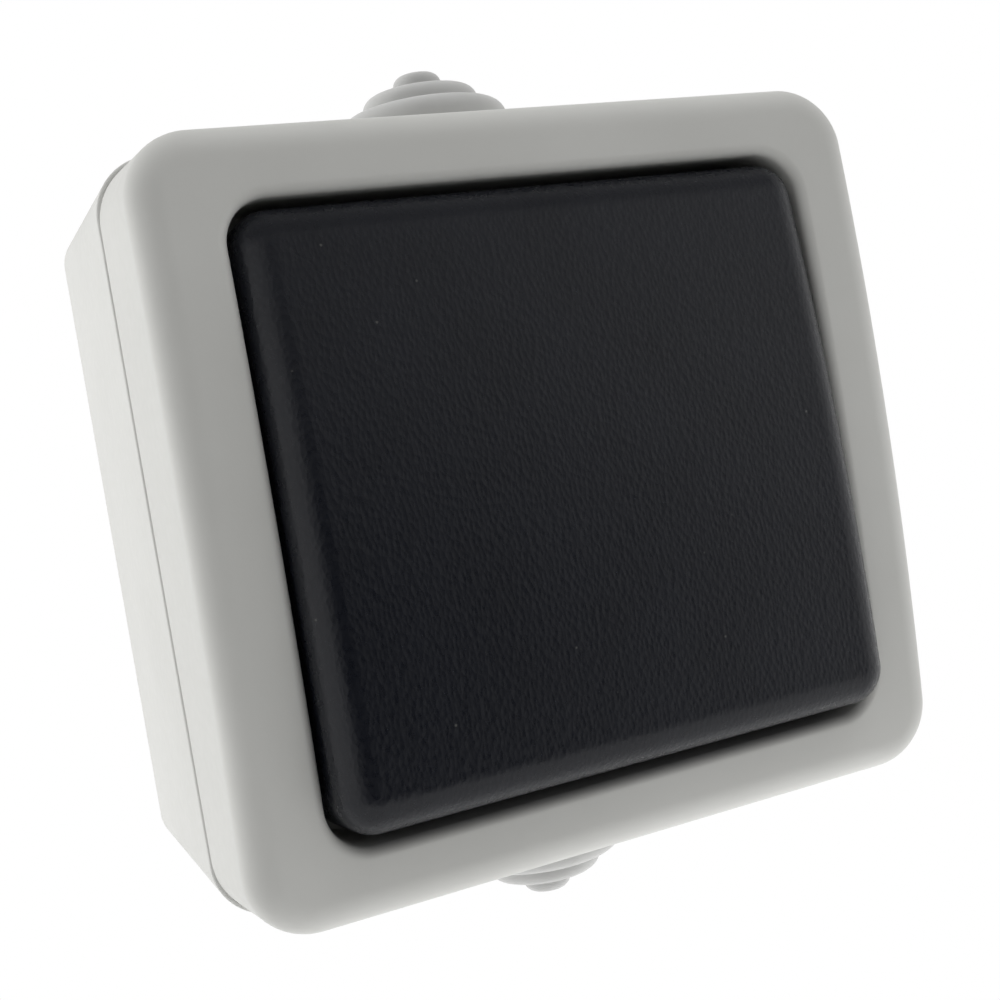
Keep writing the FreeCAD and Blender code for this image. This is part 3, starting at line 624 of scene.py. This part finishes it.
def pebble_grain(x, z):
    """Pebbles, 1 on top and 0 in the creases: g = (d2 - d1) / crease width, held to 1, then 3 g^2 - 2 g^3.

    d1 and d2 are the distances to the nearest and the second nearest point of a jittered lattice."""
    u = x / GRAIN_CELL
    v = z / GRAIN_CELL
    near = np.full(np.shape(x), FAR)
    second = near.copy()
    for di in (-1, 0, 1):
        for dj in (-1, 0, 1):
            i = np.floor(u) + di
            j = np.floor(v) + dj
            across = i + lattice_random(i, j, SALT_ACROSS) - u
            up = j + lattice_random(i, j, SALT_UP) - v
            gap = np.hypot(across, up)
            second = np.minimum(second, np.maximum(gap, near))
            near = np.minimum(near, gap)
    crease = np.clip((second - near) / CREASE_WIDTH, 0, 1)
    return crease * crease * (3 - 2 * crease)


# %% A square grid pulled into a rounded rectangle


def square_outline(cells_per_side):
    """Corner centres c and directions n for the rim of a square grid, walked from its lower left corner.

    Each side of the square takes half a corner arc, a straight side and half an arc, evenly by length."""
    straights = 2 * (rocker_half - rocker_corner)
    arc = rocker_corner * np.pi / 4
    centres = []
    directions = []
    signs = CORNER_SIGNS[[2, 3, 0, 1]]
    for side in range(4):
        length = straights[side % 2]
        place = np.arange(cells_per_side) / cells_per_side * (length + 2 * arc)
        first = np.clip(place / arc, 0, 1)
        share = np.clip((place - arc) / length, 0, 1)
        last = np.clip((place - arc - length) / arc, 0, 1)
        angle = np.pi * 5 / 4 + side * np.pi / 2 + (first + last) * np.pi / 4
        centres.append(signs[side] + (signs[(side + 1) % 4] - signs[side]) * share[:, None])
        directions.append(np.stack([np.cos(angle), np.sin(angle)], 1))
    return np.concatenate(centres), np.concatenate(directions)


def rim_index(cells_per_side):
    """Numbers of the points on the rim of a square grid, walked the same way as square_outline."""
    side = np.arange(cells_per_side)
    width = cells_per_side + 1
    low = side
    right = side * width + cells_per_side
    high = cells_per_side * width + cells_per_side - side
    left = (cells_per_side - side) * width
    return np.concatenate([low, right, high, left])


def square_walk(u, v):
    """How far round the unit square a rim point (u, v) is, in sides, from the lower left corner."""
    low = (u + 1) / 2
    right = 1 + (v + 1) / 2
    high = 2 + (1 - u) / 2
    left = 3 + (1 - v) / 2
    return np.select([np.isclose(v, -1), np.isclose(u, 1), np.isclose(v, 1)], [low, right, high], left)


def pulled_grid(rim, cells_per_side):
    """Points (x, z) of a square grid pulled into a rim: the rim point that way, times max(|u|, |v|)."""
    steps = np.linspace(-1, 1, cells_per_side + 1)
    u, v = np.meshgrid(steps, steps)
    reach = np.maximum(np.abs(u), np.abs(v))
    safe = np.maximum(reach, TINY)
    whole = square_walk(u / safe, v / safe) * cells_per_side
    below = np.floor(whole + TINY).astype(int)
    part = (whole - below)[..., None]
    on_rim = rim[below % len(rim)] * (1 - part) + rim[(below + 1) % len(rim)] * part
    return on_rim * reach[..., None]


# %% Shell of the rocker
FACE_CELLS = 216
INNER_ROWS = 4


def rocker_rows():
    """Stations from the face's rim over the edge round, down the skirt and back inside to the middle."""
    inner_half = rocker_half - rocker_wall
    inner_turn = rocker_edge_round - rocker_wall
    inner_corner = rocker_corner - rocker_wall
    skirt = station(rocker_half, rocker_corner, skirt_depth)
    inner_skirt = station(inner_half, inner_corner, skirt_depth)
    inner_top = station(inner_half, inner_corner, rocker_crown_depth - rocker_edge_round, 1.0)
    under = station(inner_half - inner_turn, inner_corner, under_depth, 1.0)
    middle = station(np.zeros(2), 0.0, under_depth, 1.0)
    return chain(
        rocker_edge[::-1],
        straight(rocker_edge[0], skirt),
        straight(skirt, inner_skirt),
        straight(inner_skirt, inner_top),
        straight(inner_top, under, INNER_ROWS),
        straight(under, middle, INNER_ROWS),
    )[1:]


def grain_edge(rings, rim, rim_n):
    """Carry the grain over the edge round, by g along (n cos a, sin a towards the front) in each row.

    The pattern is read as if the round were rolled out flat, at the rim plus r (pi / 2 - a) n."""
    angle = QUARTER[::-1][1:, None]
    along = rocker_edge_round * (np.pi / 2 - angle)
    grain = GRAIN_HEIGHT * pebble_grain(rim[:, 0] + along * rim_n[:, 0], rim[:, 1] + along * rim_n[:, 1])
    edge_rows = rings[:len(angle)]
    edge_rows[..., 0] += grain * np.cos(angle) * rim_n[:, 0]
    edge_rows[..., 1] -= grain * np.sin(angle)
    edge_rows[..., 2] += grain * np.cos(angle) * rim_n[:, 1]


def rocker_shell():
    """Grained face grid, rows of the edge round and skirt, and the inside closed at its middle."""
    rim_c, rim_n = square_outline(FACE_CELLS)
    face_half = rocker_edge[-1, :CORNER_COLUMN]
    face_corner = rocker_edge[-1, CORNER_COLUMN]
    rim = (face_half - face_corner) * rim_c + face_corner * rim_n
    x, z = np.moveaxis(pulled_grid(rim, FACE_CELLS), -1, 0)
    y = crown(z) - rocker_crown_depth - GRAIN_HEIGHT * pebble_grain(x, z)
    face = np.stack([x, y, z], -1)
    rings = ring_points(rocker_rows(), crown, rim_c, rim_n)
    grain_edge(rings, rim, rim_n)
    face_quads = grid_quads(*face.shape[:2])
    ring_start = x.size
    first = rim_index(FACE_CELLS)
    second = ring_start + np.arange(len(rim))
    join = np.stack([first, second, np.roll(second, -1), np.roll(first, -1)], 1)
    ring_quads = grid_quads(*rings.shape[:2], close_columns=True)[:, ::-1] + ring_start
    points = np.concatenate([face.reshape(-1, 3), rings.reshape(-1, 3)])
    return outwards(points, np.concatenate([face_quads, join, ring_quads]))


# %% [markdown]
# Under the cap a cross of ribs stiffens the face, and two studs with thin pins clip it to the cradle. They
# could be fused to the cap, but closed blocks that are sunk a little into it keep every surface clean. The
# whole rocker is made level and then turned about its trunnions to the tilt that it has at rest.

# %% Ribs, clips and the finished rocker
RIB_SINK = 0.5              # how far ribs and clips reach into the cap
rib_half = 0.6
rib_corner = 0.1
rib_back = 52.61
rib_reach = rocker_half - rocker_edge_round
rib_front = under_depth + RIB_SINK
clip_places = np.array([[-7.5, 0.0], [7.5, 0.0]])
clip_radius = 2.4
clip_seat = 51.4
clip_pin_radius = 1.3
clip_pin_end = 49.2


def stud(place, half, corner, depth_from, depth_to, follow=0.0, front=flat_front):
    """Closed block with round corners, standing out from the wall: a pole, two outlines and a pole."""
    spot = np.zeros(2)
    rows = np.stack([station(spot, 0.0, depth_from), station(half, corner, depth_from),
                     station(half, corner, depth_to, follow), station(spot, 0.0, depth_to, follow)])
    points = ring_points(rows, front, *small_frame) + np.array([place[0], 0.0, place[1]])
    return outwards(points, grid_quads(*points.shape[:2], close_columns=True))


def rocker_fittings():
    """A cross of ribs under the cap and two clip studs with their pins."""
    level = np.array([rib_reach[0], rib_half])
    upright = np.array([rib_half, rib_reach[1]])
    shells = [stud((0, 0), half, rib_corner, rib_back, rib_front, 1.0, crown) for half in (level, upright)]
    turned = [(clip_radius, clip_seat, rib_front), (clip_pin_radius, clip_pin_end, rib_back)]
    for place in clip_places:
        shells += [stud(place, (radius, radius), radius, start, end) for radius, start, end in turned]
    return shells


def tilted(points, angle):
    """Points turned about the rocker's trunnions: y, z turn by the angle round the pivot."""
    y = points[:, 1] - pivot[1]
    z = points[:, 2] - pivot[2]
    turned_y = y * math.cos(angle) - z * math.sin(angle) + pivot[1]
    turned_z = y * math.sin(angle) + z * math.cos(angle) + pivot[2]
    return np.stack([points[:, 0], turned_y, turned_z], 1)


rocker_points, rocker_quads = merged(rocker_shell(), *rocker_fittings())
mesh_piece("rocker_cap", tilted(rocker_points, rest_tilt), rocker_quads, "button", "rocker_black", "rocker")

# %% [markdown]
# The plunger's spring
#
# Inside the cradle a small coil spring presses the plunger towards the contact blade, and it gets shorter
# when the plunger slides in. A curve with a bevel would draw it too. Here it is a wire carried along a
# helix, which keeps its mesh at hand.

# %% Coil spring
WIRE_SIDES = 10
TURN_STEPS = 28
plunger_tip_radius = 2.0
plunger_neck = 2.6
plunger_body = 8.0
plunger_radius = 2.6
spring_length = 8.0
spring_wire = 0.25
spring_turns = 8
spring_clearance = 0.2
plunger_back = box_mm("plunger")[1][1]
nose_reach = (plunger_back - plunger_tip_radius - pivot[1]) / math.cos(rest_tilt)
spring_bottom = pivot_depth - nose_reach + plunger_neck + plunger_body
spring_radius = plunger_radius - spring_clearance - spring_wire


def spring_coil():
    """Wire of radius w along a helix of radius R and slope p: C + w (n cos a + b sin a).

    C = (R cos s, -depth - p s, R sin s) is the helix, n = (cos s, 0, sin s) points outwards, and
    b = (-p sin s, R, p cos s) / |(R, p)| is square to n and to the wire. The first and last rows have no
    width, so both ends are closed."""
    steps = spring_turns * TURN_STEPS + 1
    rows = np.concatenate([[0], np.arange(steps), [steps - 1]])[:, None]
    turn = rows * 2 * np.pi / TURN_STEPS
    wire = np.full(turn.shape, spring_wire)
    wire[[0, -1]] = 0.0
    slope = (spring_length - 2 * spring_wire) / (2 * np.pi * spring_turns)
    angle = np.arange(WIRE_SIDES) * 2 * np.pi / WIRE_SIDES
    across = spring_radius + wire * np.cos(angle)
    along = wire * np.sin(angle) / math.hypot(spring_radius, slope)
    x = across * np.cos(turn) - along * slope * np.sin(turn)
    y = along * spring_radius - slope * turn - spring_bottom - spring_wire
    z = across * np.sin(turn) + along * slope * np.cos(turn)
    points = np.stack([x, y, z], -1)
    return outwards(points, grid_quads(*points.shape[:2], close_columns=True))


coil_points, coil_quads = spring_coil()
spring = mesh_piece("plunger_coil", tilted(coil_points, rest_tilt), coil_quads, "button", "plated_steel",
                    "plunger_spring")
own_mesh(spring)

# %% [markdown]
# The cable grommets
#
# Each grommet is a stepped rubber cone on the axis of its cable hole: turned on a lathe it would be one
# profile, so it is one profile carried round a circle. The shoulders are round, and the steps meet in soft
# valleys. The box tapers, so the rows near its wall lean with it.

# %% Sizes of the grommets, in millimetres
grommet_low, grommet_high = box_mm("top_cable_grommet")
grommet_depth = -(grommet_low[1] + grommet_high[1]) / 2
flange_end = grommet_low[2]
flange_thickness = 1.5
grommet_radii = (grommet_high[0], 6.7, 2.8)
grommet_rounds = (2.0, 1.6, 1.3)
grommet_step = 2.1
grommet_hole_radius = 8.5
grommet_wall = 1.3
valley_round = 0.35
foot_chamfer = 0.2
box_taper_end = 0.46
box_step = 0.15
wall_slope = box_taper_end / seam_depth
grommet_seat = seam_half[1] + box_step - wall_slope * (seam_depth - grommet_depth)
print("grommet axis", grommet_depth.round(2), "mm from the wall, seat at", grommet_seat.round(2), "mm")

# %% Stepped grommets
TURN = np.linspace(0, 2 * np.pi, 97)[:-1]
SHOULDER_STEPS = 9
VALLEY_STEPS = 5
LEAN_REACH = 2.0            # below the lowest step the lean of the wall comes in over this height


def arc_points(centre_r, centre_z, radius, start, end, steps):
    """Arc in the profile plane (radius, height), angles in degrees."""
    angle = np.radians(np.linspace(start, end, steps))
    return np.stack([centre_r + radius * np.cos(angle), centre_z + radius * np.sin(angle)], 1)


def grommet_profile(tip):
    """Profile from the tip on the axis, down the steps, through the wall and back up inside to the axis."""
    tops = [tip - 2 * grommet_step, tip - grommet_step, tip]
    parts = [np.array([[0.0, tip]])]
    for step in (2, 1, 0):
        radius = grommet_radii[step]
        curve = grommet_rounds[step]
        parts.append(arc_points(radius - curve, tops[step] - curve, curve, 90, 0, SHOULDER_STEPS))
        if step:
            valley = tops[step - 1] + valley_round
            parts.append(arc_points(radius + valley_round, valley, valley_round, 180, 270, VALLEY_STEPS))
    foot, middle, top = grommet_radii
    inner = grommet_hole_radius - grommet_wall
    ceilings = [height - grommet_wall for height in tops]
    parts.append(np.array([
        [foot, grommet_seat + foot_chamfer],
        [foot - foot_chamfer, grommet_seat],
        [grommet_hole_radius, grommet_seat],
        [grommet_hole_radius, flange_end + flange_thickness],
        [foot, flange_end + flange_thickness],
        [foot, flange_end],
        [inner, flange_end],
        [inner, ceilings[0]],
        [middle - grommet_wall, ceilings[0]],
        [middle - grommet_wall, ceilings[1]],
        [top - grommet_wall, ceilings[1]],
        [top - grommet_wall, ceilings[2]],
        [0.0, ceilings[2]],
    ]))
    return np.concatenate(parts)


def grommet_shell(tip, side):
    """The profile turned about the cable axis: x, y = r (cos a, sin a), with the wall's lean added to z."""
    profile = grommet_profile(tip)
    radius = profile[:, :1]
    height = profile[:, 1:]
    x = radius * np.cos(TURN)
    y = radius * np.sin(TURN) - grommet_depth
    near_wall = np.clip((tip - 2 * grommet_step - height) / LEAN_REACH, 0, 1)
    z = height + near_wall * wall_slope * (-y - grommet_depth)
    points = np.stack([x, y, side * z], -1)
    return outwards(points, grid_quads(*points.shape[:2], close_columns=True))


for side, place in ((1, "top"), (-1, "bottom")):
    node = place + "_cable_grommet"
    tip = np.abs(np.array(box_mm(node))[:, 2]).max()
    mesh_piece(place + "_grommet_cone", *grommet_shell(tip, side), "housing", "grommet_rubber", node)

# %% [markdown]
# Camera, floor and light
#
# The camera stands close, a little to the left, and is rolled a few degrees. Its three directions and its
# place are written out, because the roll would be lost if it only looked at a point.

# %% Camera
SENSOR_WIDTH = 36.0
FOCAL_LENGTH = 52.78
camera_right = Vector((0.900869, -0.402869, -0.161656))
camera_down = Vector((-0.165996, 0.024385, -0.985825))
camera_ahead = Vector((0.401100, 0.914933, -0.044907))
camera_place = Vector((-67.1435, -185.4894, 5.7734)) * MM
camera_data = bpy.data.cameras.new("camera")
camera_data.sensor_width = SENSOR_WIDTH
camera_data.lens = FOCAL_LENGTH
camera = bpy.data.objects.new("camera", camera_data)
bpy.context.scene.collection.objects.link(camera)
camera_turn = Matrix((camera_right, -camera_down, -camera_ahead)).transposed()
camera.matrix_world = Matrix.Translation(camera_place) @ camera_turn.to_4x4()
bpy.context.scene.camera = camera
print("camera at", [round(value, 4) for value in camera_place], "m")

# %% [markdown]
# A pale floor lies well below. Near the object it is matt and keeps the shadow; further out it fades to
# pure white for the rays that show the background, so that no horizon cuts through the picture.

# %% Floor
FLOOR_HEIGHT = -0.2
FLOOR_HALF = 0.45
FLOOR_COLOUR = (0.86, 0.86, 0.86, 1)
FLOOR_ROUGHNESS = 0.9
FADE_START = 0.16           # metres from the middle of the floor
FADE_END = 0.27


def largest(tree, *values):
    """The largest of several shader values."""
    found = values[0]
    for value in values[1:]:
        node = add_node(tree, "ShaderNodeMath", operation="MAXIMUM")
        tree.links.new(found, node.inputs[0])
        tree.links.new(value, node.inputs[1])
        found = node.outputs[0]
    return found


def product(tree, first, second):
    """The product of two shader values."""
    node = add_node(tree, "ShaderNodeMath", operation="MULTIPLY")
    tree.links.new(first, node.inputs[0])
    tree.links.new(second, node.inputs[1])
    return node.outputs[0]


def background_rays(tree, *kinds):
    """1 for rays that show the background: camera, glossy and transmission rays, or the kinds named."""
    light_path = add_node(tree, "ShaderNodeLightPath")
    wanted = kinds or ("Camera", "Glossy", "Transmission")
    return largest(tree, *[light_path.outputs["Is " + kind + " Ray"] for kind in wanted])


def mix_shaders(tree, share, first, second, output):
    """Send a mix of two shaders to an output node: the first at a share of 0, the second at 1."""
    mix = add_node(tree, "ShaderNodeMixShader")
    tree.links.new(share, mix.inputs["Fac"])
    tree.links.new(first.outputs[0], mix.inputs[1])
    tree.links.new(second.outputs[0], mix.inputs[2])
    tree.links.new(mix.outputs[0], tree.nodes[output].inputs["Surface"])


def floor_finish():
    """Matt pale floor that keeps the shadow near the object and fades to white further out."""
    material, tree, shader, place = new_finish("pale_floor", specular=0.1)
    shader.inputs["Base Color"].default_value = FLOOR_COLOUR
    shader.inputs["Roughness"].default_value = FLOOR_ROUGHNESS
    white = add_node(tree, "ShaderNodeEmission", Strength=1.0)
    distance = add_node(tree, "ShaderNodeVectorMath", operation="LENGTH")
    tree.links.new(place, distance.inputs[0])
    far = spread(tree, distance.outputs["Value"], 0.0, 1.0, FADE_START, FADE_END)
    mix_shaders(tree, product(tree, far, background_rays(tree)), shader, white, "Material Output")
    return material


floor_mesh = bpy.data.meshes.new("floor")
floor_corners = np.array([[-1, -1], [1, -1], [1, 1], [-1, 1]]) * FLOOR_HALF
floor_mesh.from_pydata([(x, y, 0.0) for x, y in floor_corners], [], [(0, 1, 2, 3)])
floor_mesh.materials.append(floor_finish())
floor = bpy.data.objects.new("floor", floor_mesh)
floor.location = (0, 0, FLOOR_HEIGHT)
bpy.context.scene.collection.objects.link(floor)
print("floor", 2 * FLOOR_HALF, "m wide at", FLOOR_HEIGHT, "m")

# %% [markdown]
# The light is a soft white room with one unlit end in front and a dim ceiling, so the sides glow, the face
# stays quiet and the black rocker shows the dark end in its polish. The room's tone is a straight ramp over
# the cosine between a ray and that end: a wide ramp for the light that falls on matt surfaces, and a narrow
# one for what shows in the polish.

# %% Room
DARK_END = Vector((-0.04, -0.96, -0.22)).normalized()
CEILING = Vector((0, 0, 1))
ROOM_LIGHT = 0.74
DARK_TONE = 0.04
CEILING_TONE = 0.35
LIGHT_RAMP = (0.20, 0.97)           # cosines between which the tone falls
POLISH_RAMP = (0.68, 0.96)
CEILING_RAMP = (0.2, 0.7)

world = bpy.data.worlds.new("soft_room")
bpy.context.scene.world = world
world.use_nodes = True
room = world.node_tree
room_direction = add_node(room, "ShaderNodeTexCoord")


def room_cosine(direction):
    """Cosine between a ray and a direction of the room."""
    node = add_node(room, "ShaderNodeVectorMath", operation="DOT_PRODUCT")
    node.inputs[1].default_value = direction
    room.links.new(room_direction.outputs["Generated"], node.inputs[0])
    return node.outputs["Value"]


towards_dark = room_cosine(DARK_END)
room_light = room.nodes["Background"]
room_light.inputs["Strength"].default_value = ROOM_LIGHT
room.links.new(spread(room, towards_dark, 1.0, DARK_TONE, *LIGHT_RAMP), room_light.inputs["Color"])
polish_tone = spread(room, towards_dark, 1.0, DARK_TONE, *POLISH_RAMP)
ceiling_tone = spread(room, room_cosine(CEILING), 1.0, CEILING_TONE, *CEILING_RAMP)
shown_tone = product(room, polish_tone, ceiling_tone)
plain_rays = background_rays(room, "Camera", "Transmission")
room_shown = add_node(room, "ShaderNodeBackground", Strength=1.0)
room.links.new(largest(room, shown_tone, plain_rays), room_shown.inputs["Color"])
mix_shaders(room, background_rays(room), room_light, room_shown, "World Output")
print("room light", ROOM_LIGHT, "with its dark end towards", [round(value, 2) for value in DARK_END])

# %% [markdown]
# Five soft lamps round the switch add direction: the left and the right one light the sides, one above and
# one below open the rims, and a weak one in front lifts the face. They don't show in reflections, because a
# square of light in the polish would give them away.

# %% Lamps
LAMP_AIM = Vector((0, -0.03, 0))
LAMPS = [                   # name, place and size in metres, power in watts
    ("left_lamp", (-0.50, 0.33, 0.10), 0.40, 2.0),
    ("right_lamp", (0.60, 0.00, 0.15), 0.60, 0.7),
    ("top_lamp", (0.00, 0.05, 0.60), 0.60, 0.9),
    ("low_lamp", (0.05, -0.03, -0.18), 0.30, 0.34),
    ("front_lamp", (0.10, -0.23, 0.40), 0.25, 0.28),
]


def soft_lamp(name, place, size, power):
    """Square lamp that looks at the switch."""
    data = bpy.data.lights.new(name, "AREA")
    data.size = size
    data.energy = power
    lamp = bpy.data.objects.new(name, data)
    lamp.location = place
    aim = LAMP_AIM - Vector(place)
    lamp.rotation_euler = aim.to_track_quat("-Z", "Y").to_euler()
    lamp.visible_camera = False
    lamp.visible_glossy = False
    bpy.context.scene.collection.objects.link(lamp)


for lamp_values in LAMPS:
    soft_lamp(*lamp_values)
bpy.context.scene.view_settings.view_transform = "Standard"
print("lamps:", len(LAMPS))
